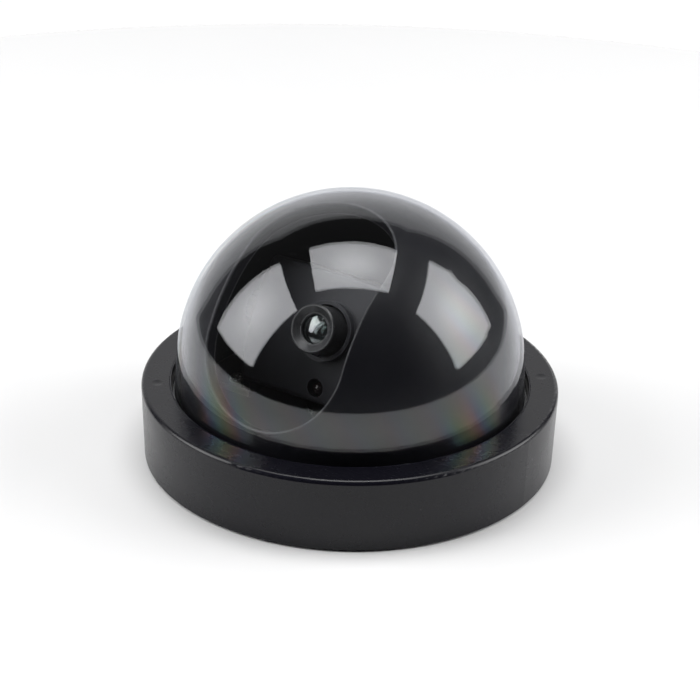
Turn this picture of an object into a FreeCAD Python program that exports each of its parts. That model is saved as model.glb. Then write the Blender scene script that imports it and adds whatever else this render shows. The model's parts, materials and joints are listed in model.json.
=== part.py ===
import FreeCAD, Part
import math
import os

# Dome camera. Millimetres, +Z up, base underside on z = 0, lens facing -Y, tilt axis along X.

V = FreeCAD.Vector
X_AXIS, Z_AXIS = V(1, 0, 0), V(0, 0, 1)
ORIGIN = V(0, 0, 0)

# Driving dimensions: outside of the camera
RING_TOP_R = 60.0        # cover ring, widest at its top
RING_FOOT_R = 59.2       # the side wall draws in a little towards the foot
RING_FOOT_Z = 0.3        # the ring hangs just clear of the mounting surface
RING_TOP_Z = 22.5
RING_EDGE_R = 1.2        # rounded outer edge
RING_WALL_R = 57.2       # inside of the side wall
RING_ROOF = 2.2          # thickness of the flat top
OPENING_R = 51.7         # round opening that the dome stands in
SPHERE_Z = 28.5          # centre of the dome, liner and slot
DOME_R, DOME_WALL = 50.0, 1.0
DOME_DRAFT = 3.0         # the dome's straight skirt flares outwards by this angle, degrees
LINER_R, LINER_WALL = 48.6, 1.6      # turns close inside the dome

# Camera module, which tilts above the dome's centre. In its own frame, n runs forward along the
# optical axis and w runs up across it, both from the tilt axis.
TILT_Z = SPHERE_Z + 8.0
LENS_ELEVATION = 28.0    # how far the lens looks up at rest, degrees
CASE_HALF, CASE_WALL = 26.0, 1.6
FACE_N, FACE_R = 14.2, 58.0          # gently rounded front face
CASE_TOP, CASE_LOW, CASE_BACK = 16.5, -20.5, -12.5
CASE_HEEL_N, CASE_HEEL_W = 0.0, -13.0    # where the underside starts to rise, and how far
LENS_RIM = 22.8          # lens rim from the tilt axis
LENS_HEAD_R, LENS_THREAD_R = 7.0, 6.0
TUBE_R, TUBE_N = 8.7, 16.0           # low collar of the front shroud round the lens
LED_W, LED_HOLE_R = -16.4, 2.6
LOCK_N = 10.2            # set screw that locks the focus

# Slot in the liner, an oval swept from low in front to past the top
SLOT_HALF = 22.0
SLOT_LOW, SLOT_HIGH = 26.2, 64.8     # elevations of its end centres, degrees
SLOT_RIM, SLOT_DEPTH = 1.4, 4.3      # turned-in rim: thickness and depth
SLOT_EDGE_R = 0.4                    # rounded outer edge of the slot

# Base
BASE_R, BASE_FLOOR = 56.6, 2.5
RIM_R, RIM_WALL, RIM_TOP = 55.5, 2.0, 11.0
MOUNT_HOLE_R, MOUNT_PCD = 2.2, 100.0
INLET_Y, INLET_R = 33.0, 3.0
BOARD_Z, BOARD_T, BOARD_R = 5.0, 1.6, 52.0

# Twist lock between ring and base
LOCK_AT = (90, 210, 330)             # degrees round the base
LUG_HALF, TAB_LOW, TAB_HIGH = 10.0, -8.0, 6.0
TAB_Z0, TAB_Z1, LUG_Z0, LUG_Z1 = 5.2, 7.0, 7.2, 9.0
LOCK_R, LUG_R, TAB_R = 55.4, 56.9, 55.9

# Pan bearing
HUB_R, SPIGOT_R, HUB_BORE_R = 11.0, 9.0, 6.5
SHOULDER_Z, TABLE_Z0, TABLE_Z1, HUB_TOP = 11.0, 11.5, 13.5, 15.2
RUNNING = 0.06                       # radial play of a shaft in its bore
SCREW_PLAY = 0.02
STOP_HALF, STOP_REACH = 1.3, 17.0    # pan stops: half width, outer end

# Dome clamp under the ring's top
FLANGE_R, FLANGE_Z0, FLANGE_T = 54.6, 17.6, 2.0
CLAMP_Z0 = 15.9
BOSS_R, BOSS_AT, BOSS_FIRST = 2.2, 55.4, 38.0

# Yoke and pivots
YOKE_IN, YOKE_T, YOKE_EYE = 27.2, 2.5, 8.0
PIVOT_R = 4.0


# ---------------------------------------------------------------- helpers
def cyl(r, z0, z1, x=0.0, y=0.0):
    return Part.makeCylinder(r, z1 - z0, V(x, y, z0))


def tube(outer, inner, z0, z1, x=0.0, y=0.0):
    return cyl(outer, z0, z1, x, y).cut(cyl(inner, z0 - 1, z1 + 1, x, y))


def box(x0, x1, y0, y1, z0, z1):
    return Part.makeBox(x1 - x0, y1 - y0, z1 - z0, V(x0, y0, z0))


def along_x(r, x0, x1, y=0.0, z=0.0):
    return Part.makeCylinder(r, x1 - x0, V(x0, y, z), X_AXIS)


def along_n(r, n0, n1, x=0.0, w=0.0):
    """Cylinder along the optical axis, which is local -Y in the module's frame."""
    return Part.makeCylinder(r, n1 - n0, V(x, -n0, w), V(0, -1, 0))


def module_box(half_x, n0, n1, w0, w1, x=0.0):
    return box(x - half_x, x + half_x, -n1, -n0, w0, w1)


def revolved(edges_or_points):
    """Solid of revolution about Z from (r, z) points, or from ready edges in the XZ plane."""
    if isinstance(edges_or_points[0], tuple):
        points = [V(r, 0, z) for r, z in edges_or_points]
        wire = Part.makePolygon(points + points[:1])
    else:
        wire = Part.Wire(edges_or_points)
    return Part.Face(wire).revolve(ORIGIN, Z_AXIS, 360)


def line(a, b):
    return Part.makeLine(V(a[0], 0, a[1]), V(b[0], 0, b[1]))


def arc(a, mid, b):
    return Part.Arc(V(a[0], 0, a[1]), V(mid[0], 0, mid[1]), V(b[0], 0, b[1])).toShape()


def sector(r0, r1, z0, z1, a0, a1):
    """Piece of a ring between two angles in degrees."""
    wedge = Part.makeCylinder(r1, z1 - z0, V(0, 0, z0), Z_AXIS, a1 - a0)
    wedge.rotate(ORIGIN, Z_AXIS, a0)
    return wedge.cut(cyl(r0, z0 - 1, z1 + 1))


def turned(shape, degrees, axis=Z_AXIS, about=ORIGIN):
    copy = shape.copy()
    copy.rotate(about, axis, degrees)
    return copy


def moved(shape, x=0.0, y=0.0, z=0.0):
    copy = shape.copy()
    copy.translate(V(x, y, z))
    return copy


def polar(radius, count, first=0.0):
    """Points spaced evenly round a circle."""
    angles = [math.radians(first + 360.0 * k / count) for k in range(count)]
    return [(radius * math.cos(a), radius * math.sin(a)) for a in angles]


def corners(half_x, half_y):
    return [(sx * half_x, sy * half_y) for sx in (-1, 1) for sy in (-1, 1)]


def joined(shapes):
    return shapes[0].multiFuse(shapes[1:]).removeSplitter()


def drilled(shape, tools):
    return shape.cut(Part.makeCompound(tools))


def mirrored(shape):
    return shape.mirror(ORIGIN, X_AXIS)


def both_sides(shape):
    return Part.makeCompound([shape, mirrored(shape)])


def screw(r, length, head_r, head_h):
    """Pan-head screw with a cross recess: shank down from z = 0, head above it."""
    edge = 0.35 * head_h
    head = revolved([(0, 0), (head_r, 0), (head_r, head_h - edge), (head_r - edge, head_h), (0, head_h)])
    arm, slit = 0.62 * head_r, 0.16 * head_r
    cross = box(-arm, arm, -slit, slit, 0.45 * head_h, head_h + 1)
    cross = cross.fuse(turned(cross, 90))
    return joined([cyl(r, -length, 0.01), head]).cut(cross)


def countersunk(r, length, head_r, head_h):
    """Flat-head screw: head top on z = 0, shank down to -length."""
    cone = Part.makeCone(r, head_r, head_h, V(0, 0, -head_h))
    arm, slit = 0.6 * head_r, 0.16 * head_r
    cross = box(-arm, arm, -slit, slit, -0.6 * head_h, 1)
    cross = cross.fuse(turned(cross, 90))
    return joined([cyl(r, -length, -head_h + 0.01), cone]).cut(cross)


def to_module(shape):
    """From the module's own frame to the camera's: tilt to the lens's rest elevation."""
    copy = turned(shape, -LENS_ELEVATION, X_AXIS)
    copy.translate(V(0, 0, TILT_Z))
    return copy


def save(name, shape):
    solids = shape.Solids
    bad = [s for s in solids if not s.isValid() or not s.isClosed()]
    if not solids or bad:
        raise ValueError(f"{name}: {len(solids)} solids, {len(bad)} bad")
    result = solids[0] if len(solids) == 1 else Part.makeCompound(solids)
    result.exportStep(f"parts/{name}.step")
    print(f"{name:22s} {len(solids)} solid(s)  {shape.Volume:9.1f} mm3")


# ---------------------------------------------------------------- base
def base_plate():
    floor = revolved([(0, 0), (BASE_R - 0.5, 0), (BASE_R, 0.5), (BASE_R, BASE_FLOOR), (0, BASE_FLOOR)])
    parts = [floor, tube(RIM_R, RIM_R - RIM_WALL, BASE_FLOOR, RIM_TOP)]
    for at in LOCK_AT:
        parts.append(sector(LOCK_R, LUG_R, LUG_Z0, LUG_Z1, at - LUG_HALF, at + LUG_HALF))
        parts.append(sector(LOCK_R, LUG_R, TAB_Z0, LUG_Z0, at - LUG_HALF, at - LUG_HALF + 1.2))
    for x, y in board_posts():
        parts.append(cyl(3.0, BASE_FLOOR, BOARD_Z, x, y))
    for x, y in mount_points():
        parts.append(tube(4.4, MOUNT_HOLE_R, BASE_FLOOR, BASE_FLOOR + 0.6, x, y))
    holes = [cyl(1.27, 1.0, BOARD_Z + 1, x, y) for x, y in board_posts()]
    holes += [cyl(MOUNT_HOLE_R, -1, BASE_FLOOR + 2, x, y) for x, y in mount_points()]
    holes += [cyl(1.35, -1, BASE_FLOOR + 1, x, y) for x, y in polar(8.7, 3, 30)]
    holes += [Part.makeCone(2.75, 1.35, 1.4, V(x, y, 0)) for x, y in polar(8.7, 3, 30)]
    holes += [cyl(5.0, -1, BASE_FLOOR + 1, 0, INLET_Y), cyl(6.5, -1, 1.0, 0, INLET_Y)]
    return drilled(joined(parts), holes)


def board_posts():
    return polar(38.0, 4, 22.5)


def mount_points():
    return polar(MOUNT_PCD / 2, 4, 45.0)


def cable_grommet():
    points = [(INLET_R, 0.2), (6.4, 0.2), (6.4, 0.95), (4.95, 0.95), (4.95, 2.55),
              (6.6, 2.55), (6.2, 3.6), (4.2, 5.2), (INLET_R, 5.2)]
    return moved(revolved(points), y=INLET_Y)


def main_board():
    board = cyl(BOARD_R, BOARD_Z, BOARD_Z + BOARD_T)
    z0, z1 = BOARD_Z - 1, BOARD_Z + BOARD_T + 1
    holes = [cyl(12.0, z0, z1), cyl(8.0, z0, z1, 0, INLET_Y)]
    holes += [cyl(5.2, z0, z1, x, y) for x, y in mount_points()]
    holes += [cyl(1.4, z0, z1, x, y) for x, y in board_posts()]
    return drilled(board, holes)


def board_screws():
    one = screw(1.25, 4.6, 2.4, 1.5)
    top = BOARD_Z + BOARD_T
    return Part.makeCompound([moved(one, x, y, top) for x, y in board_posts()])


def header(half_x, depth, height, pins):
    """Shrouded plug-in socket, open at the top, with a row of pins."""
    shell = box(-half_x, half_x, 0, depth, 0, height)
    shell = shell.cut(box(-half_x + 0.7, half_x - 0.7, 0.7, depth - 0.7, 1.0, height + 1))
    shell = shell.cut(box(-half_x * 0.4, half_x * 0.4, -1, 1, height * 0.5, height + 1))
    pitch = (2 * half_x - 3.0) / (pins - 1)
    rows = [-half_x + 1.5 + k * pitch for k in range(pins)]
    posts = [box(x - 0.25, x + 0.25, depth / 2 - 0.25, depth / 2 + 0.25, 0.9, height - 0.6) for x in rows]
    return joined([shell] + posts)


def cable_headers():
    top = BOARD_Z + BOARD_T
    one = header(5.0, 5.0, 4.0, 4)
    return Part.makeCompound([moved(one, x, 41.5, top) for x in (-14.5, 14.5)])


def harness_header():
    """Outside the circle that the turntable's pan stop sweeps."""
    return moved(turned(header(4.5, 4.6, 3.6, 5), 90), -STOP_REACH - 1.8, 0, BOARD_Z + BOARD_T)


def capacitors():
    top = BOARD_Z + BOARD_T
    foot = box(-3.3, 3.3, -3.3, 3.3, 0, 0.7)
    can = revolved([(0, 0.6), (3.1, 0.6), (3.1, 1.2), (2.9, 1.4), (2.9, 1.6), (3.1, 1.8),
                    (3.1, 3.9), (2.8, 4.2), (0, 4.2)])
    one = joined([foot, can])
    return Part.makeCompound([moved(one, x, y, top) for x, y in ((26, 17), (33.5, 21), (26, 25.5))])


def power_inductor():
    core = box(-3.6, 3.6, -3.6, 3.6, 0, 3.2)
    core = core.makeChamfer(0.8, vertical_edges(core))
    core = core.cut(tube(3.0, 2.7, 2.9, 4.0))
    return moved(core, 35.5, 6.0, BOARD_Z + BOARD_T)


def vertical_edges(body):
    return [e for e in body.Edges if abs(e.Vertexes[0].Z - e.Vertexes[-1].Z) > 1]


def board_chips():
    top = BOARD_Z + BOARD_T
    sizes = ((14, 14, 1.3, -23.5, -14), (10, 8, 1.1, -27, -29), (6, 5, 1.5, 30, -6),
             (7, 6.5, 2.2, 24, -17), (5, 6, 1.2, -8, -30), (9, 9, 1.0, 7, -30))
    chips = []
    for lx, ly, h, at_x, at_y in sizes:
        body = box(-lx / 2, lx / 2, -ly / 2, ly / 2, 0.1, h)
        body = body.cut(cyl(0.4, h - 0.1, h + 1, -lx / 2 + 1.0, ly / 2 - 1.0))
        rows = [ly * (0.2 * k - 0.4) for k in range(5)]
        legs = [box(-lx / 2 - 0.5, lx / 2 + 0.5, y - 0.2, y + 0.2, 0, 0.5) for y in rows]
        chips.append(moved(joined([body] + legs), at_x, at_y, top))
    return Part.makeCompound(chips)


def switch_body():
    body = box(-2.25, 2.25, -2.25, 2.25, 0, 1.8)
    body = body.cut(cyl(1.9, 0.7, 1.5)).cut(cyl(1.25, 1.4, 3))
    return moved(body, 49.2, 0, BOARD_Z + BOARD_T)


def reset_button():
    plunger = joined([cyl(1.75, 1.1, 1.45), cyl(1.2, 1.4, 2.7), cyl(1.1, 2.6, 3.0)])
    return moved(plunger, 49.2, 0, BOARD_Z + BOARD_T)


def pan_hub():
    body = revolved([(HUB_BORE_R, BASE_FLOOR), (14.0, BASE_FLOOR), (14.0, 4.3), (HUB_R, 4.6),
                     (HUB_R, SHOULDER_Z), (SPIGOT_R, SHOULDER_Z), (SPIGOT_R, HUB_TOP - 0.4),
                     (SPIGOT_R - 0.4, HUB_TOP), (HUB_BORE_R, HUB_TOP)])
    stop = box(-STOP_HALF, STOP_HALF, HUB_R - 0.5, STOP_REACH, 8.0, 10.8)
    window = box(-HUB_R - 1, -HUB_BORE_R + 2, -4, 4, 7.0, 10.5)
    holes = [cyl(1.27, 0, 8.5, x, y) for x, y in polar(8.7, 3, 30)]
    return drilled(joined([body, stop]), [window] + holes)


def hub_screws():
    one = turned(countersunk(1.25, 8.0, 2.55, 1.3), 180, X_AXIS)
    return Part.makeCompound([moved(one, x, y, 0.1) for x, y in polar(8.7, 3, 30)])


def thrust_washer():
    return tube(HUB_R - 0.2, SPIGOT_R + 0.1, SHOULDER_Z, TABLE_Z0)


def pan_collar():
    ring = tube(12.6, SPIGOT_R + SCREW_PLAY, 13.9, HUB_TOP)
    notches = [cyl(0.9, 13, 16, x, y) for x, y in polar(12.8, 6)]
    return drilled(ring, notches)


def wave_washer():
    return tube(12.0, SPIGOT_R + 0.2, TABLE_Z1 + 0.05, 13.9)


# ---------------------------------------------------------------- pan
def liner_posts():
    return polar(LINER_R - 3.8, 3, 90.0)


def yoke_feet():
    return corners(34.0, 8.0)


def turntable():
    disc = revolved([(SPIGOT_R + RUNNING, TABLE_Z0), (LINER_R - 0.4, TABLE_Z0), (LINER_R, TABLE_Z0 + 0.4),
                     (LINER_R, TABLE_Z1), (SPIGOT_R + RUNNING, TABLE_Z1)])
    stop = box(-STOP_HALF, STOP_HALF, -STOP_REACH, -13.5, 9.0, TABLE_Z0 + 0.1)
    stiffener = tube(22.0, 20.8, TABLE_Z0 - 1.0, TABLE_Z0 + 0.1)
    window = sector(24.0, 34.0, TABLE_Z0 - 1, TABLE_Z1 + 1, 60, 120)
    holes = [cyl(1.27, TABLE_Z0 + 0.4, TABLE_Z1 + 1, x, y) for x, y in yoke_feet()]
    for x, y in liner_posts():
        holes.append(cyl(1.1, TABLE_Z0 - 1, TABLE_Z1 + 1, x, y))
        holes.append(Part.makeCone(2.1, 1.1, 1.1, V(x, y, TABLE_Z0)))
    return drilled(joined([disc, stop, stiffener]), [window] + holes)


def slot_cutter(half):
    """Oval tunnel from the dome's centre outwards, as wide as 2 * half."""
    reach = 70.0
    blade = [V(-half, 0, 0), V(half, 0, 0), V(half, -reach, 0), V(-half, -reach, 0)]
    sweep = Part.Face(Part.makePolygon(blade + blade[:1])).revolve(ORIGIN, X_AXIS, SLOT_LOW - SLOT_HIGH)
    parts = [turned(sweep, -SLOT_LOW, X_AXIS)]
    for elevation in (SLOT_LOW, SLOT_HIGH):
        e = math.radians(elevation)
        parts.append(Part.makeCylinder(half, reach, ORIGIN, V(0, -math.cos(e), math.sin(e))))
    return moved(joined(parts), z=SPHERE_Z)


def liner():
    inner = LINER_R - LINER_WALL
    c, h = SPHERE_Z, math.sqrt(0.5)
    edges = [arc((0, c + LINER_R), (h * LINER_R, c + h * LINER_R), (LINER_R, c)),
             line((LINER_R, c), (LINER_R, TABLE_Z1)), line((LINER_R, TABLE_Z1), (inner, TABLE_Z1)),
             line((inner, TABLE_Z1), (inner, c)),
             arc((inner, c), (h * inner, c + h * inner), (0, c + inner)),
             line((0, c + inner), (0, c + LINER_R))]
    shell = revolved(edges)
    centre = V(0, 0, c)
    band = Part.makeSphere(LINER_R - 0.1, centre).cut(Part.makeSphere(LINER_R - SLOT_DEPTH, centre))
    rim = slot_cutter(SLOT_HALF + SLOT_RIM).common(band)
    body = shell.fuse(rim).cut(slot_cutter(SLOT_HALF)).removeSplitter()
    body = body.makeFillet(SLOT_EDGE_R, slot_edges(body))
    posts = [cyl(2.6, TABLE_Z1, TABLE_Z1 + 5, x, y) for x, y in liner_posts()]
    posts = [p.common(cyl(inner + 0.4, 0, 40)) for p in posts]
    holes = [cyl(1.02, TABLE_Z1 - 1, TABLE_Z1 + 4, x, y) for x, y in liner_posts()]
    return drilled(body.fuse(posts).removeSplitter(), holes)


def slot_edges(body):
    """Edges of the slot on the liner's outside, and not the seam round the liner's equator."""
    found = []
    for edge in body.Edges:
        middle = edge.valueAt((edge.FirstParameter + edge.LastParameter) / 2)
        reach = math.hypot(middle.x, middle.y, middle.z - SPHERE_Z)
        on_outside = abs(reach - LINER_R) < 0.02 and middle.z > SPHERE_Z
        if on_outside and abs(middle.x) <= SLOT_HALF + 0.01 and edge.BoundBox.ZLength > 0.01:
            found.append(edge)
    return found


def liner_screws():
    one = turned(countersunk(1.0, 5.6, 2.0, 1.0), 180, X_AXIS)
    return Part.makeCompound([moved(one, x, y, TABLE_Z0 + 0.05) for x, y in liner_posts()])


def yoke_arm():
    """Right-hand arm: foot on the turntable, plate up to the pivot eye, one rib."""
    x0, x1 = YOKE_IN, YOKE_IN + YOKE_T
    outline = [V(x0, -12, TABLE_Z1), V(x0, 12, TABLE_Z1), V(x0, YOKE_EYE, TILT_Z), V(x0, -YOKE_EYE, TILT_Z)]
    plate = Part.Face(Part.makePolygon(outline + outline[:1])).extrude(V(YOKE_T, 0, 0))
    eye = along_x(YOKE_EYE, x0, x1, 0, TILT_Z)
    foot = box(x0, 37.5, -12, 12, TABLE_Z1, TABLE_Z1 + 2)
    rib_line = [V(x1 - 0.1, -1, 15), V(36, -1, 15), V(x1 - 0.1, -1, 24)]
    rib = Part.Face(Part.makePolygon(rib_line + rib_line[:1])).extrude(V(0, 2, 0))
    holes = [cyl(1.35, 12, 17, x, y) for x, y in yoke_feet() if x > 0]
    holes += [along_x(PIVOT_R + RUNNING, x0 - 1, x1 + 1, 0, TILT_Z)]
    holes += [box(x0 - 1, x1 + 1, s * 5 - 2.5, s * 5 + 2.5, 17.5, 25.5) for s in (-1, 1)]
    return drilled(joined([plate, eye, foot, rib]), holes)


def yoke_screws():
    one = screw(1.25, 3.4, 2.3, 1.4)
    return Part.makeCompound([moved(one, x, y, TABLE_Z1 + 2) for x, y in yoke_feet()])


# ---------------------------------------------------------------- tilt module, in its own frame
def shroud_posts():
    return corners(20.5, 12.2)


def case_solid(inset):
    """Rounded-front body of the module, drawn in the n-w plane and run along X."""
    centre, r = FACE_N - FACE_R, FACE_R - inset
    top, low, back = CASE_TOP - inset, CASE_LOW + inset, CASE_BACK + inset
    x = inset - CASE_HALF

    def point(n, w):
        return V(x, -n, w)

    chin = point(centre + math.sqrt(r * r - low * low), low)
    brow = point(centre + math.sqrt(r * r - top * top), top)
    rest = [brow, point(back, top), point(back, CASE_HEEL_W + inset), point(CASE_HEEL_N, low), chin]
    edges = [Part.Arc(chin, point(centre + r, 0), brow).toShape()]
    edges += [Part.makeLine(p, q) for p, q in zip(rest, rest[1:])]
    return Part.Face(Part.Wire(edges)).extrude(V(-2 * x, 0, 0))


def case_shell():
    outer = case_solid(0)
    return outer.makeFillet(2.0, outer.Edges), case_solid(CASE_WALL)


def front_shroud():
    outer, inner = case_shell()
    half = box(-30, 30, -30, -0.1, -30, 30)
    posts = [along_n(2.3, 0.1, 15.0, x, w).common(outer) for x, w in shroud_posts()]
    collars = [along_n(TUBE_R, FACE_N - CASE_WALL, TUBE_N)]
    collars += [along_n(3.6, 8.2, 12.0, 0, LED_W).common(outer)]
    body = outer.cut(inner).fuse(posts + collars).common(half)
    holes = [along_n(1.02, -1, 9.0, x, w) for x, w in shroud_posts()]
    holes += [along_n(LENS_HEAD_R + 0.6, 10, 30), along_n(LED_HOLE_R, 7, 30, 0, LED_W)]
    holes += [along_x(PIVOT_R + 0.3, -30, 30)]
    return to_module(drilled(body.removeSplitter(), holes))


def rear_shroud():
    outer, inner = case_shell()
    half = box(-30, 30, 0.1, 30, -30, 30)
    posts = [along_n(3.1, -16.0, -0.1, x, w).common(outer) for x, w in shroud_posts()]
    body = outer.cut(inner).fuse(posts).common(half)
    holes = [along_n(1.1, -20, 1, x, w) for x, w in shroud_posts()]
    holes += [along_n(2.2, -30, -8.0, x, w) for x, w in shroud_posts()]
    holes += [along_x(PIVOT_R + 0.3, -30, 30)]
    holes += [box(-11, 11, 5, 30, w - 0.7, w + 0.7) for w in (0, 3.2, 6.4, 9.6)]
    holes += [box(-6, 6, 5, 30, -10.0, -5.0)]
    return to_module(drilled(body.removeSplitter(), holes))


def shroud_screws():
    one = turned(screw(1.0, 16.0, 2.0, 1.4), -90, X_AXIS)
    return to_module(Part.makeCompound([moved(one, x, 8.0, w) for x, w in shroud_posts()]))


def stack_points():
    return corners(13.0, 6.6)


def module_bracket():
    web = box(-24, 24, 3.0, 4.2, -8.5, 8.5)
    side = box(22.8, 24, -6.5, 4.2, -8.5, 8.5)
    holes = [along_n(1.1, -6, -1, x, w) for x, w in stack_points()]
    holes += [along_x(1.52, -30, 30)]
    return to_module(drilled(joined([web, side, mirrored(side)]), holes))


def sensor_board():
    board = module_box(16.0, 1.0, 2.4, -11.5, 11.5)
    return to_module(drilled(board, [along_n(1.1, 0, 4, x, w) for x, w in stack_points()]))


def signal_board():
    board = module_box(16.0, -7.4, -6.0, -10.5, 10.5)
    return to_module(drilled(board, [along_n(1.1, -9, -4, x, w) for x, w in stack_points()]))


def board_spacers():
    parts = []
    for x, w in stack_points():
        for n0, n1 in ((-3.0, 1.0), (-6.0, -4.2)):
            parts.append(along_n(1.9, n0, n1, x, w).cut(along_n(1.05, n0 - 1, n1 + 1, x, w)))
    return to_module(Part.makeCompound(parts))


def stack_screws():
    one = turned(screw(1.0, 12.2, 1.8, 1.2), 90, X_AXIS)
    return to_module(Part.makeCompound([moved(one, x, -2.4, w) for x, w in stack_points()]))


def stack_nuts():
    across = 1.95
    hexagon = [V(x, 0, z) for x, z in polar(across / math.cos(math.radians(30)), 6)]
    one = Part.Face(Part.makePolygon(hexagon + hexagon[:1])).extrude(V(0, 1.5, 0))
    one = one.cut(Part.makeCylinder(1.02, 4, V(0, -1, 0), V(0, 1, 0)))
    return to_module(Part.makeCompound([moved(one, x, 7.4, w) for x, w in stack_points()]))


def signal_chips():
    big = module_box(5.0, -8.6, -7.45, -4, 5)
    small = module_box(2.5, -8.4, -7.45, -7.5, -5)
    return to_module(Part.makeCompound([big, small]))


def module_header():
    plug = turned(header(4.0, 3.6, 3.4, 5), -90, X_AXIS)
    return to_module(moved(plug, 0, 7.4, 10.2))


def lens_holder():
    foot = module_box(8.0, 2.4, 7.5, -8.0, 8.0)
    barrel = along_n(7.8, 7.4, 11.8)
    ears = [along_n(2.2, 2.4, 4.6, s * 10.0, 0) for s in (-1, 1)]
    webs = [module_box(2.2, 2.4, 4.6, -2.2, 2.2, s * 8.5) for s in (-1, 1)]
    body = joined([foot, barrel] + ears + webs)
    holes = [module_box(5.6, 2.0, 5.6, -5.6, 5.6), along_n(4.7, 5.0, 6.5)]
    holes += [along_n(4.0, 5.0, 8.0), along_n(LENS_THREAD_R + 0.05, 6.9, 17.0)]
    holes += [along_x(1.02, 5.0, 12.0, -LOCK_N, 0)]
    return to_module(drilled(body, holes))


def focus_lock_screw():
    pin = along_x(1.0, LENS_THREAD_R + 0.12, 9.4, -LOCK_N, 0)
    slot = box(8.6, 10, -LOCK_N - 0.2, -LOCK_N + 0.2, -2, 2)
    return to_module(pin.cut(slot))


def image_sensor():
    package = module_box(4.8, 2.45, 3.6, -4.4, 4.4).cut(module_box(3.9, 3.2, 4.0, -3.4, 3.4))
    return to_module(package)


def sensor_glass():
    return to_module(module_box(3.85, 3.25, 3.6, -3.35, 3.35))


def ir_cut_filter():
    return to_module(along_n(4.6, 5.7, 6.4))


def indicator_led():
    dome = Part.makeSphere(2.1, V(0, -9.0, 0)).common(along_n(3.0, 8.9, 12.0))
    body = joined([along_n(2.4, 7.2, 7.9), along_n(2.1, 7.8, 9.0), dome])
    return to_module(moved(body, z=LED_W))


def led_board():
    return to_module(module_box(6.0, 6.1, 7.1, LED_W - 2.4, LED_W + 4.2))


def pivot_bushes():
    one = along_x(PIVOT_R, 24.05, 29.9).cut(along_x(1.6, 20, 32))
    return to_module(both_sides(one))


def friction_washers():
    inner = along_x(6.5, CASE_HALF + 0.05, 27.1).cut(along_x(PIVOT_R + 0.1, 20, 32))
    outer = along_x(5.6, 29.78, 30.2).cut(along_x(PIVOT_R + 0.1, 20, 32))
    return to_module(Part.makeCompound([both_sides(inner), both_sides(outer)]))


def tilt_knobs():
    head = along_x(5.6, 30.25, 33.0)
    grips = [along_x(0.7, 30, 34, y, z) for y, z in polar(5.9, 12)]
    coin_slot = box(32.0, 34.0, -3.8, 3.8, -0.6, 0.6)
    one = joined([along_x(1.5, 22.2, 30.3), drilled(head, grips)]).cut(coin_slot)
    return to_module(both_sides(one))


# ---------------------------------------------------------------- lens, turned about Z, then laid down
def on_optical_axis(shape):
    return to_module(turned(shape, 90, X_AXIS))


def lens_barrel():
    r, t, rim = LENS_HEAD_R, LENS_THREAD_R, LENS_RIM
    points = [(4.0, 7.0), (t - 0.3, 7.0), (t, 7.3), (t, 13.2), (r, 13.2), (r, rim - 0.3), (r - 0.3, rim),
              (r - 0.6, rim), (4.9, rim - 0.9), (4.65, rim - 1.1), (4.65, 14.0), (4.0, 14.0)]
    return on_optical_axis(revolved(points))


def lens_retainer():
    ring = revolved([(4.2, 20.9), (4.62, 20.9), (4.62, 21.6), (4.4, 21.6), (4.2, 21.4)])
    notches = [cyl(0.3, 21.3, 22.0, x, y) for x, y in polar(4.6, 2)]
    return on_optical_axis(drilled(ring, notches))


def cap_height(sphere, radius):
    return sphere - math.sqrt(sphere * sphere - radius * radius)


def element(edge_r, back, front, front_bulge, back_hollow):
    """Round lens: bulging front of one sphere, hollow back of another."""
    blank = cyl(edge_r, back, front)
    ball = Part.makeSphere(front_bulge, V(0, 0, front - front_bulge))
    hollow_z = back + cap_height(back_hollow, edge_r - 0.6) - back_hollow
    hollow = Part.makeSphere(back_hollow, V(0, 0, hollow_z))
    return on_optical_axis(blank.common(ball).cut(hollow))


def front_element():
    return element(4.6, 18.3, 21.8, 9.0, 9.5)


def middle_element():
    return element(4.6, 14.05, 16.3, 14.0, 16.0)


def rear_element():
    return element(3.95, 7.6, 10.4, 7.5, 30.0)


def aperture_stop():
    return on_optical_axis(tube(4.6, 1.7, 16.45, 16.9))


# ---------------------------------------------------------------- cover
def clamp_points():
    return polar(BOSS_AT, 4, BOSS_FIRST)


def cover_ring():
    roof = RING_TOP_Z - RING_ROOF
    bend = RING_EDGE_R * (1 - math.sqrt(0.5))
    corner = (RING_TOP_R, RING_TOP_Z - RING_EDGE_R)
    edge = (RING_TOP_R - RING_EDGE_R, RING_TOP_Z)
    foot_in, foot_out = (RING_WALL_R, RING_FOOT_Z), (RING_FOOT_R - 0.3, RING_FOOT_Z)
    foot_up = (RING_FOOT_R, RING_FOOT_Z + 0.3)
    lip, lip_in = (OPENING_R + 0.3, RING_TOP_Z), (OPENING_R, RING_TOP_Z - 0.3)
    edges = [line(foot_in, foot_out), line(foot_out, foot_up), line(foot_up, corner),
             arc(corner, (RING_TOP_R - bend, RING_TOP_Z - bend), edge), line(edge, lip),
             line(lip, lip_in), line(lip_in, (OPENING_R, roof)),
             line((OPENING_R, roof), (RING_WALL_R, roof)), line((RING_WALL_R, roof), foot_in)]
    parts = [revolved(edges)]
    bosses = [cyl(BOSS_R, FLANGE_Z0, roof + 0.1, x, y) for x, y in clamp_points()]
    parts += [b.common(cyl(RING_WALL_R + 0.3, 0, 30)) for b in bosses]
    for at in LOCK_AT:
        parts.append(sector(TAB_R, RING_WALL_R + 0.1, TAB_Z0, TAB_Z1, at + TAB_LOW, at + TAB_HIGH))
    holes = [cyl(1.02, FLANGE_Z0 - 1, RING_TOP_Z - 1.6, x, y) for x, y in clamp_points()]
    dimple, depth = 12.0, 0.12
    holes += [Part.makeSphere(dimple, V(x, y, RING_TOP_Z + dimple - depth)) for x, y in clamp_points()]
    return drilled(joined(parts), holes)


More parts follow.
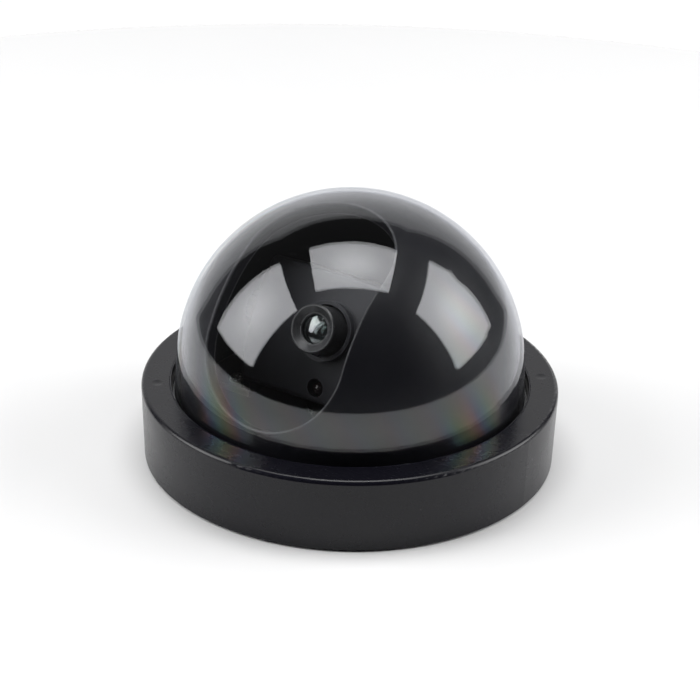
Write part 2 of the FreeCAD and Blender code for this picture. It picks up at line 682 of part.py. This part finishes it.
def clear_dome():
    """Part of a sphere that runs on into a flared skirt and a flange, notched round the bosses."""
    z0, z1 = FLANGE_Z0, FLANGE_Z0 + FLANGE_T
    c, draft = SPHERE_Z, math.radians(DOME_DRAFT)
    middle = (math.pi / 2 + draft) / 2

    def on_sphere(r, elevation):
        return (r * math.cos(elevation), c + r * math.sin(elevation))

    def on_skirt(r, z):
        start_r, start_z = on_sphere(r, draft)
        return (start_r + (start_z - z) * math.tan(draft), z)

    r, inner = DOME_R, DOME_R - DOME_WALL
    edges = [arc((0, c + r), on_sphere(r, middle), on_sphere(r, draft)),
             line(on_sphere(r, draft), on_skirt(r, z1)), line(on_skirt(r, z1), (FLANGE_R, z1)),
             line((FLANGE_R, z1), (FLANGE_R, z0)), line((FLANGE_R, z0), on_skirt(inner, z0)),
             line(on_skirt(inner, z0), on_sphere(inner, draft)),
             arc(on_sphere(inner, draft), on_sphere(inner, middle), (0, c + inner)),
             line((0, c + inner), (0, c + r))]
    notches = [cyl(BOSS_R + 0.4, z0 - 1, z1 + 1, x, y) for x, y in clamp_points()]
    return drilled(revolved(edges), notches)


def dome_gasket():
    return tube(52.9, DOME_R + 1.0, FLANGE_Z0 + FLANGE_T, RING_TOP_Z - RING_ROOF)


def clamp_ring():
    ring = tube(56.8, 49.5, CLAMP_Z0, FLANGE_Z0)
    return drilled(ring, [cyl(1.15, CLAMP_Z0 - 1, FLANGE_Z0 + 1, x, y) for x, y in clamp_points()])


def clamp_screws():
    one = turned(screw(1.0, 4.8, 1.4, 1.3), 180, X_AXIS)
    return Part.makeCompound([moved(one, x, y, CLAMP_Z0) for x, y in clamp_points()])


# ---------------------------------------------------------------- all the pieces
PIECES = (
    base_plate, cable_grommet, main_board, board_screws, cable_headers, harness_header, capacitors,
    power_inductor, board_chips, switch_body, reset_button, pan_hub, hub_screws, thrust_washer,
    wave_washer, pan_collar, turntable, liner, liner_screws, yoke_screws, front_shroud, rear_shroud,
    shroud_screws, module_bracket, sensor_board, signal_board, board_spacers, stack_screws, stack_nuts,
    signal_chips, module_header, lens_holder, focus_lock_screw, image_sensor, sensor_glass,
    ir_cut_filter, indicator_led, led_board, pivot_bushes, friction_washers, tilt_knobs, lens_barrel,
    lens_retainer, front_element, middle_element, rear_element, aperture_stop, cover_ring, clear_dome,
    dome_gasket, clamp_ring, clamp_screws,
)

os.makedirs("parts", exist_ok=True)
for piece in PIECES:
    save(piece.__name__, piece())
save("yoke_right", yoke_arm())
save("yoke_left", mirrored(yoke_arm()))
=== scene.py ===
import json
import math
import bmesh
import bpy
from mathutils import Matrix, Quaternion, Vector, noise


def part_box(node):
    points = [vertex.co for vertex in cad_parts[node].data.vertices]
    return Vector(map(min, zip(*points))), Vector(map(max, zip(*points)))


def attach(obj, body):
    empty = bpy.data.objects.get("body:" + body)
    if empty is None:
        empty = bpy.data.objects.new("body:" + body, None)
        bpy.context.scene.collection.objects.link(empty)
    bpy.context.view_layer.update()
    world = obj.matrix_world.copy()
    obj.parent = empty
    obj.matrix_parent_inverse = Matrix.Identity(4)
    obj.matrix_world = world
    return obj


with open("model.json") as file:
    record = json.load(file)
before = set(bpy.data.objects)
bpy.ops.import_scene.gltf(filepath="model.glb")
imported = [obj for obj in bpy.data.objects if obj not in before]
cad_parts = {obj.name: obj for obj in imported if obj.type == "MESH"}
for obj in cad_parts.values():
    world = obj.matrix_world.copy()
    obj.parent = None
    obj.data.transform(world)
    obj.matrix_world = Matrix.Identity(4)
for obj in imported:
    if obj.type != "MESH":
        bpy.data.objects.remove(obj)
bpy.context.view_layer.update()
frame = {"nodes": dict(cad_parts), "record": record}

# Looks of a dome camera: black moulded ring, clear dome, black liner with a slot, and the camera
# module behind it. Metres, +Z up, lens towards -Y.
SCENE = bpy.context.scene
NODES = frame["nodes"]
MM = 0.001

# View and light, all turned about the object. Azimuths are measured from the side that the camera
# is on, and grow to its right.
VIEW_AZIMUTH, VIEW_ELEVATION, VIEW_ROLL = 33.0, 27.05, 1.39
VIEW_DISTANCE, FOCAL_LENGTH = 0.907, 162.7
VIEW_TARGET = Vector((-0.0002, -0.0001, 0.0321))
TOWARD_CAMERA = Vector((math.sin(math.radians(VIEW_AZIMUTH)), -math.cos(math.radians(VIEW_AZIMUTH)), 0))
TO_THE_RIGHT = Vector((math.cos(math.radians(VIEW_AZIMUTH)), math.sin(math.radians(VIEW_AZIMUTH)), 0))
UP = Vector((0, 0, 1))
TABLE_R, TABLE_STRETCH = 0.34, 1.15
TABLE_DROP = 0.1 * MM    # keeps the table top clear of the underside

# Softboxes. Each one at a side has a name, azimuth, elevation, width and height.
SOFTBOX_GLOW = 3.45      # radiance at the edge of a softbox; the table comes out near 1
HOT_SPOT = 0.55          # how much brighter its middle is
SIDE_SOFTBOXES = (("left_softbox", -86, 29.5, 0.74, 0.84), ("right_softbox", 93.5, 27, 0.78, 0.80))
SIDE_DISTANCE = 1.0
OVERHEAD_HEIGHT, OVERHEAD_SETBACK = 1.1, 0.055
OVERHEAD_SIZE = (0.91, 0.70)

# White screen behind the object. Widths and heights are tangents, seen from the object.
SCREEN_HALF_WIDTH, SCREEN_TOP = 1.02, 0.90
SCREEN_SHIFT = 0.13      # how far its middle is to the left
SCREEN_TAPER = 0.42      # how much narrower it gets for each unit of height
SCREEN_GLOW, SCREEN_FALL, SCREEN_SLANT = 0.83, 0.24, 0.07    # middle, loss to both sides, to the right
ROOM_GLOW = 0.012
CAMERA_WHITE = 1.02      # what the camera sees past the table

FLASH_STEPS = 720        # sections round the moulding burr on the cover's lip

# Colours of the painted rainbow reflection on the dome's strained clear plastic, in the order that they
# repeat
PAINTED_RAINBOW_HUES = [
    (0.0, (0.52, 0.66, 1.15)), (0.2, (0.55, 1.05, 0.95)), (0.4, (0.80, 1.05, 0.55)),
    (0.6, (1.15, 0.92, 0.50)), (0.8, (1.15, 0.58, 0.55)), (1.0, (0.52, 0.66, 1.15)),
]
# The painted rainbow reflection near the dome's foot comes back once at each moulding gate
GATES, GATE_TURN = 4, 76.0      # the dome is moulded from this many gates, one at this turn about +Z


# ---------------------------------------------------------------- camera, lights and floor
def around(azimuth, elevation):
    """Unit vector at an azimuth from the camera's side and an elevation, in degrees."""
    a, e = math.radians(azimuth), math.radians(elevation)
    flat = TOWARD_CAMERA * math.cos(a) + TO_THE_RIGHT * math.sin(a)
    return flat * math.cos(e) + UP * math.sin(e)


def make_camera():
    data = bpy.data.cameras.new("camera")
    data.lens, data.sensor_width = FOCAL_LENGTH, 36.0
    data.clip_start, data.clip_end = 0.05, 20.0
    camera = bpy.data.objects.new("camera", data)
    back = around(0, VIEW_ELEVATION)
    camera.location = VIEW_TARGET + back * VIEW_DISTANCE
    camera.rotation_mode = "QUATERNION"
    level = (-back).to_track_quat("-Z", "Y")
    camera.rotation_quaternion = level @ Quaternion((0, 0, 1), math.radians(VIEW_ROLL))
    SCENE.collection.objects.link(camera)
    SCENE.camera = camera


def softbox(name, centre, width, height, up):
    """Rectangular lamp at a point, facing the object, brighter in its middle."""
    data = bpy.data.lights.new(name, "AREA")
    data.shape, data.size, data.size_y = "RECTANGLE", width, height
    data.energy = 4.0 * width * height * SOFTBOX_GLOW
    data.use_nodes = True
    tree = data.node_tree
    emission = tree.nodes["Emission"]
    face = tree.nodes.new("ShaderNodeNewGeometry")
    away = tree.nodes.new("ShaderNodeVectorMath")
    away.operation = "DISTANCE"
    away.inputs[1].default_value = (0.5, 0.5, 0.0)
    tree.links.new(face.outputs["Parametric"], away.inputs[0])
    falloff = tree.nodes.new("ShaderNodeMapRange")
    falloff.interpolation_type = "SMOOTHSTEP"
    falloff.inputs["From Max"].default_value = 0.5
    falloff.inputs["To Min"].default_value = 1.0 + HOT_SPOT
    falloff.inputs["To Max"].default_value = 1.0
    tree.links.new(away.outputs["Value"], falloff.inputs["Value"])
    tree.links.new(falloff.outputs["Result"], emission.inputs["Strength"])
    lamp = bpy.data.objects.new(name, data)
    back = (centre - VIEW_TARGET).normalized()
    side = up.cross(back).normalized()
    lamp.matrix_world = Matrix((side, back.cross(side), back)).transposed().to_4x4()
    lamp.location = centre
    lamp.visible_camera = False
    SCENE.collection.objects.link(lamp)


def make_lights():
    for name, azimuth, elevation, width, height in SIDE_SOFTBOXES:
        softbox(name, VIEW_TARGET + around(azimuth, elevation) * SIDE_DISTANCE, width, height, UP)
    overhead = VIEW_TARGET + UP * OVERHEAD_HEIGHT - TOWARD_CAMERA * OVERHEAD_SETBACK
    softbox("overhead_softbox", overhead, *OVERHEAD_SIZE, -TOWARD_CAMERA)


def make_room():
    """White all round for the camera. What the object mirrors is a white screen behind it and a dark
    room in front, and its underside is lit from below."""
    world = bpy.data.worlds.new("studio")
    SCENE.world = world
    world.use_nodes = True
    tree = world.node_tree
    tree.nodes.clear()

    def node(kind, **settings):
        made = tree.nodes.new(kind)
        for key, value in settings.items():
            setattr(made, key, value)
        return made

    def math_node(operation, *values):
        made = node("ShaderNodeMath", operation=operation)
        for slot, value in zip(made.inputs, values):
            if isinstance(value, bpy.types.NodeSocket):
                tree.links.new(value, slot)
            else:
                slot.default_value = value
        return made.outputs[0]

    def along(axis):
        made = node("ShaderNodeVectorMath", operation="DOT_PRODUCT")
        tree.links.new(sight.outputs["Generated"], made.inputs[0])
        made.inputs[1].default_value = axis
        return made.outputs["Value"]

    sight = node("ShaderNodeTexCoord")
    behind = math_node("MAXIMUM", along(-TOWARD_CAMERA), 0.001)
    side = math_node("DIVIDE", along(TO_THE_RIGHT), behind)
    off_middle = math_node("ABSOLUTE", math_node("ADD", side, SCREEN_SHIFT))
    height = math_node("DIVIDE", along(UP), behind)
    taper = math_node("MULTIPLY", math_node("ABSOLUTE", height), SCREEN_TAPER)
    half_width = math_node("SUBTRACT", SCREEN_HALF_WIDTH, taper)
    on_screen = math_node("LESS_THAN", off_middle, half_width)
    on_screen = math_node("MULTIPLY", on_screen, math_node("LESS_THAN", height, SCREEN_TOP))
    level = math_node("SUBTRACT", SCREEN_GLOW, math_node("MULTIPLY", off_middle, SCREEN_FALL))
    level = math_node("SUBTRACT", level, math_node("MULTIPLY", side, SCREEN_SLANT))
    glow = math_node("ADD", math_node("MULTIPLY", on_screen, level), ROOM_GLOW)
    below = math_node("MULTIPLY", math_node("SUBTRACT", along(-UP), 0.5), 2.0)
    glow = math_node("ADD", glow, math_node("MAXIMUM", below, 0.0))
    ray = node("ShaderNodeLightPath")
    seen = math_node("MAXIMUM", glow, math_node("MULTIPLY", ray.outputs["Is Camera Ray"], CAMERA_WHITE))
    background = node("ShaderNodeBackground")
    background.inputs["Color"].default_value = (1.0, 1.0, 1.0, 1.0)
    tree.links.new(seen, background.inputs["Strength"])
    output = node("ShaderNodeOutputWorld")
    tree.links.new(background.outputs[0], output.inputs["Surface"])


def make_floor():
    """Oval white table top, open under the object so that light reaches its underside."""
    mesh = bpy.data.meshes.new("floor")
    form = bmesh.new()
    oval = Matrix((TO_THE_RIGHT * TABLE_STRETCH, -TOWARD_CAMERA, UP)).transposed().to_4x4()
    low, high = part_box("base_plate")
    opening = (high.x - low.x) / 2 - 2 * MM
    bmesh.ops.create_circle(form, segments=128, radius=TABLE_R, matrix=oval)
    bmesh.ops.create_circle(form, segments=128, radius=opening)
    bmesh.ops.bridge_loops(form, edges=form.edges[:])
    for face in form.faces:
        face.normal_update()
        if face.normal.z < 0:
            face.normal_flip()
    form.to_mesh(mesh)
    form.free()
    floor = bpy.data.objects.new("floor", mesh)
    floor.location.z = -TABLE_DROP
    SCENE.collection.objects.link(floor)
    paint = Finish("table_top")
    shade = paint.blend(paint.noise(0.08, 3.0), (0.70, 0.70, 0.705), (0.73, 0.73, 0.73))
    top = paint.surface(shade, roughness=0.6, specular_ior_level=0.3)
    under = paint.add("ShaderNodeNewGeometry").outputs["Backfacing"]
    gap = paint.add("ShaderNodeBsdfTransparent")
    sides = paint.add("ShaderNodeMixShader", {0: under, 1: top.outputs[0], 2: gap.outputs[0]})
    paint.tree.links.new(sides.outputs[0], paint.output.inputs["Surface"])
    mesh.materials.append(paint.material)


# ---------------------------------------------------------------- pieces
def make_lip_flash(material):
    """Thin ragged burr that the mould left round the lip of the cover's opening."""
    corners = [v.co for v in NODES["cover_ring"].data.vertices]
    top = max(c.z for c in corners)
    lip_r = min(math.hypot(c.x, c.y) for c in corners if c.z > top - 0.5 * MM)
    form = bmesh.new()
    rings = []
    for i in range(FLASH_STEPS):
        a = 2 * math.pi * i / FLASH_STEPS
        spot = Vector((math.cos(a), math.sin(a), 0))
        ragged = noise.fractal(spot * 9.0, 0.8, 2.0, 4) * 0.5 + 0.5
        torn = max(noise.noise(spot * 3.0 + Vector((4, 1, 7))), 0.0)
        reach = (0.04 + 0.10 * ragged + 0.45 * torn * ragged) * MM
        rise = (0.02 + 0.05 * ragged + 0.10 * torn) * MM
        root, tip = (lip_r + 0.10 * MM, top - 0.06 * MM), (lip_r - reach, top - 0.05 * MM + rise)
        foot = (lip_r + 0.02 * MM, top - 0.40 * MM)
        rings.append([form.verts.new((r * spot.x, r * spot.y, z)) for r, z in (root, tip, foot)])
    for here, ahead in zip(rings, rings[1:] + rings[:1]):
        for j in range(3):
            k = (j + 1) % 3
            form.faces.new((here[j], ahead[j], ahead[k], here[k]))
    bmesh.ops.recalc_face_normals(form, faces=form.faces)
    mesh = bpy.data.meshes.new("lip_flash")
    form.to_mesh(mesh)
    form.free()
    flash = bpy.data.objects.new("lip_flash", mesh)
    SCENE.collection.objects.link(flash)
    mesh.materials.append(material)
    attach(flash, "cover")


# ---------------------------------------------------------------- materials
class Finish:
    """A procedural material, built from a few named steps. Sizes are in metres."""

    def __init__(self, name):
        self.material = bpy.data.materials.new(name)
        self.material.use_nodes = True
        self.tree = self.material.node_tree
        self.tree.nodes.clear()
        self.output = self.add("ShaderNodeOutputMaterial")
        self.place = self.add("ShaderNodeTexCoord").outputs["Object"]

    def add(self, kind, inputs=None, **settings):
        """A node with its settings, and each input set to a value or linked to a socket."""
        made = self.tree.nodes.new(kind)
        for key, value in settings.items():
            setattr(made, key, value)
        for key, value in (inputs or {}).items():
            if isinstance(value, bpy.types.NodeSocket):
                self.tree.links.new(value, made.inputs[key])
            else:
                made.inputs[key].default_value = value
        return made

    def stretched(self, stretch=(1, 1, 1), turn=(0, 0, 0), shift=(0, 0, 0)):
        turn = tuple(math.radians(a) for a in turn)
        inputs = {"Vector": self.place, "Scale": stretch, "Rotation": turn, "Location": shift}
        return self.add("ShaderNodeMapping", inputs).outputs["Vector"]

    def noise(self, feature, detail=3.0, rough=0.5, vector=None):
        """Cloudy noise from 0 to 1 whose blobs are about feature metres across."""
        inputs = {"Vector": vector or self.place, "Scale": 1.0 / feature, "Detail": detail,
                  "Roughness": rough}
        return self.add("ShaderNodeTexNoise", inputs).outputs["Fac"]

    def spots(self, spacing, size, vector=None):
        """1 in round spots of that radius, one to each cell, and 0 between them."""
        inputs = {"Vector": vector or self.place, "Scale": 1.0 / spacing, "Randomness": 1.0}
        cells = self.add("ShaderNodeTexVoronoi", inputs)
        return self.span(cells.outputs["Distance"], size / spacing, 0.4 * size / spacing)

    def span(self, value, low, high, to_low=0.0, to_high=1.0):
        """Maps low..high to to_low..to_high, clamped and smoothed."""
        inputs = {"Value": value, "From Min": low, "From Max": high, "To Min": to_low, "To Max": to_high}
        return self.add("ShaderNodeMapRange", inputs, interpolation_type="SMOOTHSTEP").outputs["Result"]

    def calc(self, operation, *values):
        return self.add("ShaderNodeMath", dict(enumerate(values)), operation=operation).outputs[0]

    def blend(self, share, first, second):
        """Colour from first at 0 to second at 1."""
        made = self.add("ShaderNodeMix", data_type="RGBA")
        for key, value in ((0, share), (6, first), (7, second)):
            if isinstance(value, bpy.types.NodeSocket):
                self.tree.links.new(value, made.inputs[key])
            else:
                made.inputs[key].default_value = value if key == 0 else (*value, 1.0)
        return made.outputs[2]

    def ramp(self, value, stops):
        made = self.add("ShaderNodeValToRGB", {"Fac": value})
        points = made.color_ramp.elements
        while len(points) < len(stops):
            points.new(0.5)
        for point, (at, colour) in zip(points, stops):
            point.position, point.color = at, (*colour, 1.0)
        return made.outputs["Color"]

    def scratches(self, length, width, turn, cut):
        """Thin straight scores in one direction; a higher cut leaves fewer of them."""
        grain = self.stretched((1.0 / length, 1.0 / width, 1.0 / width), turn)
        inputs = {"Vector": grain, "Scale": 1.0, "Detail": 0.0}
        lines = self.add("ShaderNodeTexNoise", inputs).outputs["Fac"]
        return self.span(lines, cut, cut + 0.03)

    def bump(self, height, depth, under=None):
        """Relief of that depth in metres, on top of any other relief."""
        inputs = {"Height": height, "Distance": depth, "Strength": 1.0}
        if under is not None:
            inputs["Normal"] = under
        return self.add("ShaderNodeBump", inputs).outputs["Normal"]

    def edge_wear(self, strength=1.0, reach=0.0006):
        """0 on flats to 1 on outer corners, which are rubbed for about reach metres."""
        face = self.add("ShaderNodeNewGeometry").outputs
        rounded = self.add("ShaderNodeBevel", {"Radius": reach}, samples=4).outputs["Normal"]
        inputs = {0: rounded, 1: face["True Normal"]}
        turned = self.add("ShaderNodeVectorMath", inputs, operation="DOT_PRODUCT").outputs["Value"]
        corner = self.span(turned, 0.997, 0.95, 0.0, strength)
        return self.calc("MULTIPLY", corner, self.span(face["Pointiness"], 0.49, 0.51))

    def surface(self, colour, **sockets):
        """The finished Principled shader. Socket names are given with _ for spaces."""
        inputs = {"Base Color": colour if isinstance(colour, bpy.types.NodeSocket) else (*colour, 1.0)}
        for key, value in sockets.items():
            inputs[key.replace("_", " ").title().replace("Ior", "IOR")] = value
        shader = self.add("ShaderNodeBsdfPrincipled", inputs)
        self.tree.links.new(shader.outputs[0], self.output.inputs["Surface"])
        return shader


def tint(colour, factor):
    return tuple(min(c * factor, 1.0) for c in colour)


def moulded(name, colour, rough, grain, depth, wear_and_sheen=0.3, worn_and_sheen=None, specular=0.5, uneven=0.04,
             polish=0.1):
    """Injection-moulded plastic: mottled colour, uneven gloss, fine texture, dust, and lighter corners
    that are part rubbing, part painted highlight.
    """
    f = Finish(name)
    cloud = f.noise(0.02, 4.0)
    dust = f.calc("MULTIPLY", f.spots(0.0045, 0.00012), f.span(f.noise(0.03, 1.0), 0.45, 0.65))
    base = f.blend(cloud, tint(colour, 0.8), tint(colour, 1.25))
    rubbed_edge_and_sheen = f.edge_wear(wear_and_sheen)
    # Lighter corner colour: rubbed wear, and on the liner's slot edge mostly a painted highlight
    # standing in for the glint along its fillet
    base = f.blend(rubbed_edge_and_sheen, base, worn_and_sheen or tint(colour, 2.5))
    base = f.blend(f.calc("MULTIPLY", dust, 0.5), base, (0.16, 0.16, 0.155))
    gloss = f.span(f.noise(0.012, 5.0, 0.6), 0.25, 0.75, rough - uneven, rough + uneven)
    rubbed = f.calc("ADD", f.scratches(0.03, 0.0002, (0, 0, 25), 0.76),
                    f.scratches(0.02, 0.00015, (20, 60, 70), 0.77))
    gloss = f.calc("ADD", gloss, f.calc("MULTIPLY", rubbed, 0.08))
    gloss = f.calc("SUBTRACT", gloss, f.calc("MULTIPLY", rubbed_edge_and_sheen, polish))
    relief = f.bump(f.noise(grain, 2.0), depth)
    f.surface(base, roughness=gloss, normal=relief, specular_ior_level=specular)
    return f.material


def clear_plastic():
    """Polished clear wall, seen straight through, that mirrors more at a glance. It has fine scores and
    specks.
    The faint rainbow bands near the foot are painted reflection: the moulding strain is real, its
    colours are painted."""
    f = Finish("dome_polycarbonate")
    facing = f.add("ShaderNodeLayerWeight", {"Blend": 0.5}).outputs["Facing"]
    mirror = f.calc("ADD", f.calc("MULTIPLY", f.calc("POWER", facing, 5.0), 0.80), 0.0355)
    # Painted reflection: a rainbow tint put on the dome's mirror image, strongest round the foot by each
    # gate, with faint patches all over
    spot = f.add("ShaderNodeSeparateXYZ", {"Vector": f.place}).outputs
    turn = f.calc("ARCTAN2", spot["Y"], spot["X"])
    from_gate = f.calc("SUBTRACT", turn, math.radians(GATE_TURN))
    gates = f.calc("COSINE", f.calc("MULTIPLY", from_gate, float(GATES)))
    foot = f.calc("MULTIPLY", f.span(spot["Z"], 0.046, 0.024), f.span(gates, 0.35, 1.0))
    bands = f.calc("ADD", f.calc("MULTIPLY", turn, 4.0), f.calc("MULTIPLY", spot["Z"], 45.0))
    bands = f.calc("ADD", bands, f.calc("MULTIPLY", f.noise(0.03, 1.0), 0.8))
    hue = f.ramp(f.calc("FRACT", bands), PAINTED_RAINBOW_HUES)
    painted_tint_clouds = f.calc("MULTIPLY", f.span(f.noise(0.045, 1.0), 0.46, 0.62), 0.15)
    painted_stress_tint = f.blend(f.calc("MAXIMUM", foot, painted_tint_clouds), (0.965, 0.97, 1.0), hue)
    gloss = f.span(f.noise(0.012, 3.0), 0.35, 0.75, 0.0, 0.03)
    relief = f.bump(f.noise(0.02, 1.0), 0.000012)
    glossy = f.add("ShaderNodeBsdfGlossy", {"Color": painted_stress_tint, "Roughness": gloss, "Normal": relief})
    depth = f.ramp(facing, [(0.0, (0.985, 0.99, 0.99)), (0.70, (0.975, 0.98, 0.985)),
                            (1.0, (0.50, 0.52, 0.56))])
    clear = f.add("ShaderNodeBsdfTransparent", {"Color": depth})
    wall = f.add("ShaderNodeMixShader", {0: mirror, 1: clear.outputs[0], 2: glossy.outputs[0]})
    scores = f.calc("ADD", f.scratches(0.005, 0.00010, (15, 40, 20), 0.82),
                    f.scratches(0.004, 0.00008, (70, 10, 130), 0.81))
    handled = f.span(f.noise(0.02, 2.0), 0.5, 0.7)
    marks = f.calc("MULTIPLY", f.calc("ADD", scores, f.spots(0.0045, 0.00011)), handled)
    film = f.calc("DIVIDE", 0.0022, f.calc("SUBTRACT", 1.03, facing))
    haze = f.calc("ADD", f.calc("MULTIPLY", marks, 0.14), film)
    dust = f.add("ShaderNodeBsdfDiffuse", {"Color": (0.5, 0.5, 0.52, 1.0)})
    worn_and_sheen = f.add("ShaderNodeMixShader", {0: haze, 1: wall.outputs[0], 2: dust.outputs[0]})
    f.tree.links.new(worn_and_sheen.outputs[0], f.output.inputs["Surface"])
    return f.material


def rubber():
    f = Finish("black_rubber")
    base = f.blend(f.noise(0.004, 4.0), (0.012, 0.012, 0.012), (0.035, 0.034, 0.033))
    bloom = f.span(f.noise(0.002, 3.0), 0.5, 0.8, 0.0, 0.4)
    base = f.blend(bloom, base, (0.07, 0.07, 0.068))
    f.surface(base, roughness=f.span(f.noise(0.003), 0.3, 0.7, 0.6, 0.82),
              normal=f.bump(f.noise(0.0004, 3.0), 0.00003))
    return f.material


def metal(name, colour, rough, brushed=None, stain=(0.3, 0.27, 0.22), bare=1.0):
    """Plated, turned or rolled metal with fine tool marks, dull patches and bright corners."""
    f = Finish(name)
    grain = f.stretched(brushed) if brushed else f.place
    marks = f.noise(0.0004, 3.0, 0.6, grain)
    base = f.blend(f.noise(0.004, 4.0), tint(colour, 0.82), tint(colour, 1.08))
    base = f.blend(f.span(f.noise(0.003, 5.0), 0.62, 0.75, 0.0, 0.35), base, stain)
    base = f.blend(f.edge_wear(0.5), base, tint(colour, 1.3))
    gloss = f.span(marks, 0.3, 0.7, rough - 0.08, rough + 0.1)
    f.surface(base, metallic=bare, roughness=gloss, normal=f.bump(marks, 0.000008))
    return f.material


def circuit_board():
    """Solder mask over copper tracks, with tinned pads and vias whose bores are painted dark as shade.
    """
    f = Finish("circuit_board")
    mask = f.blend(f.noise(0.01, 3.0), (0.008, 0.075, 0.03), (0.014, 0.12, 0.05))
    bricks = f.add("ShaderNodeTexBrick", {"Vector": f.stretched((1, 1, 1), (0, 0, 45)), "Scale": 260.0,
                                          "Mortar Size": 0.09, "Mortar Smooth": 0.1, "Bias": 0.0})
    tracks = f.calc("MULTIPLY", bricks.outputs["Fac"], f.span(f.noise(0.008, 1.0), 0.5, 0.55))
    base = f.blend(f.calc("MULTIPLY", tracks, 0.8), mask, (0.03, 0.24, 0.09))
    pads = f.spots(0.0032, 0.0005)
    # Painted shade: dark spots in the middle of the pads stand for the shadowed inside of the via bores
    painted_via_shade = f.spots(0.0032, 0.0002)
    base = f.blend(pads, base, (0.72, 0.70, 0.64))
    base = f.blend(painted_via_shade, base, (0.02, 0.02, 0.02))
    relief = f.bump(f.calc("ADD", f.calc("MULTIPLY", tracks, 0.5), pads), 0.00003)
    relief = f.bump(f.noise(0.0006, 2.0), 0.000006, relief)
    f.surface(base, roughness=f.span(pads, 0.0, 1.0, 0.33, 0.24), metallic=pads, normal=relief,
              coat_weight=0.25, coat_roughness=0.2)
    return f.material


def lens_glass(name, front, flare):
    """Coated glass: dark depth with a faint coloured sheen that shifts towards the rim."""
    f = Finish(name)
    facing = f.add("ShaderNodeLayerWeight", {"Blend": 0.35}).outputs["Facing"]
    mirror = f.calc("ADD", f.calc("MULTIPLY", f.calc("POWER", facing, 3.0), 0.8), 0.13)
    coat = f.blend(f.span(f.noise(0.006, 1.0), 0.35, 0.65), front, flare)
    smear = f.span(f.noise(0.0012, 4.0, 0.7), 0.45, 0.75, 0.10, 0.22)
    glossy = f.add("ShaderNodeBsdfGlossy", {"Color": coat, "Roughness": smear})
    clear = f.add("ShaderNodeBsdfTransparent", {"Color": (0.72, 0.75, 0.75, 1.0)})
    body = f.add("ShaderNodeMixShader", {0: mirror, 1: clear.outputs[0], 2: glossy.outputs[0]})
    f.tree.links.new(body.outputs[0], f.output.inputs["Surface"])
    return f.material


def lamp_epoxy():
    """Smoked epoxy of the indicator lamp."""
    f = Finish("led_epoxy")
    base = f.blend(f.noise(0.001, 3.0), (0.010, 0.009, 0.010), (0.030, 0.018, 0.018))
    f.surface(base, roughness=f.span(f.noise(0.0008, 3.0), 0.3, 0.7, 0.06, 0.16), coat_weight=0.6,
              coat_roughness=0.04, normal=f.bump(f.noise(0.0015, 1.0), 0.00001))
    return f.material


def make_finishes():
    """One material for each of the record's slots."""
    return {
        "ring_plastic": moulded("ring_abs", (0.0035, 0.0034, 0.0058), 0.27, 0.00035, 0.000003, wear_and_sheen=0.6,
                                specular=0.33, uneven=0.025, polish=0.2),
        # The liner's pale corner colour is a painted highlight along the edge of its slot
        "liner_plastic": moulded("liner_abs", (0.0050, 0.0050, 0.0075), 0.40, 0.0006, 0.000003, wear_and_sheen=0.9,
                                 worn_and_sheen=(0.20, 0.20, 0.21), specular=0.22),
        "case_plastic": moulded("case_abs", (0.042, 0.042, 0.048), 0.50, 0.0004, 0.000004, wear_and_sheen=0.4,
                                specular=0.20),
        "base_plastic": moulded("base_abs", (0.018, 0.018, 0.020), 0.48, 0.0003, 0.00002, wear_and_sheen=0.3),
        "knob_plastic": moulded("knob_abs", (0.028, 0.028, 0.031), 0.42, 0.0003, 0.00001, wear_and_sheen=0.4),
        "chip_epoxy": moulded("chip_epoxy", (0.02, 0.02, 0.021), 0.5, 0.0001, 0.000008, wear_and_sheen=0.2),
        "connector_plastic": moulded("nylon", (0.66, 0.62, 0.52), 0.42, 0.0004, 0.000006, wear_and_sheen=0.2,
                                     worn_and_sheen=(0.8, 0.78, 0.7)),
        "ferrite": moulded("ferrite", (0.05, 0.05, 0.052), 0.6, 0.00015, 0.00001, wear_and_sheen=0.5),
        "clear_dome": clear_plastic(),
        "circuit_board": circuit_board(),
        "black_rubber": rubber(),
        "capacitor_can": metal("aluminium_can", (0.80, 0.80, 0.82), 0.28, (1, 1, 6)),
        "screw_steel": metal("zinc_screw", (0.58, 0.58, 0.56), 0.30),
        "spring_steel": metal("rolled_steel", (0.50, 0.50, 0.51), 0.34, (1, 8, 1)),
        "brass": metal("turned_brass", (0.80, 0.60, 0.28), 0.28, (6, 1, 1), (0.35, 0.22, 0.08)),
        "lens_metal": metal("black_anodised", (0.042, 0.042, 0.045), 0.34, (1, 1, 1), (0.03, 0.03, 0.03),
                            bare=0.3),
        "lens_glass": lens_glass("coated_glass", (0.95, 0.93, 1.0), (0.84, 0.95, 0.90)),
        "filter_glass": lens_glass("filter_glass", (1.0, 0.70, 0.60), (0.70, 0.95, 1.0)),
        "led_epoxy": lamp_epoxy(),
    }


def finish_nodes(finishes):
    """Gives every CAD node the finish of its material slot."""
    for part in frame["record"]["subparts"]:
        node = NODES[part["node"]]
        node.data.materials.clear()
        node.data.materials.append(finishes[part["material_slot"]])


make_camera()
make_lights()
make_room()
make_floor()
finishes = make_finishes()
finish_nodes(finishes)
make_lip_flash(finishes["ring_plastic"])
SCENE.view_settings.view_transform = "Standard"
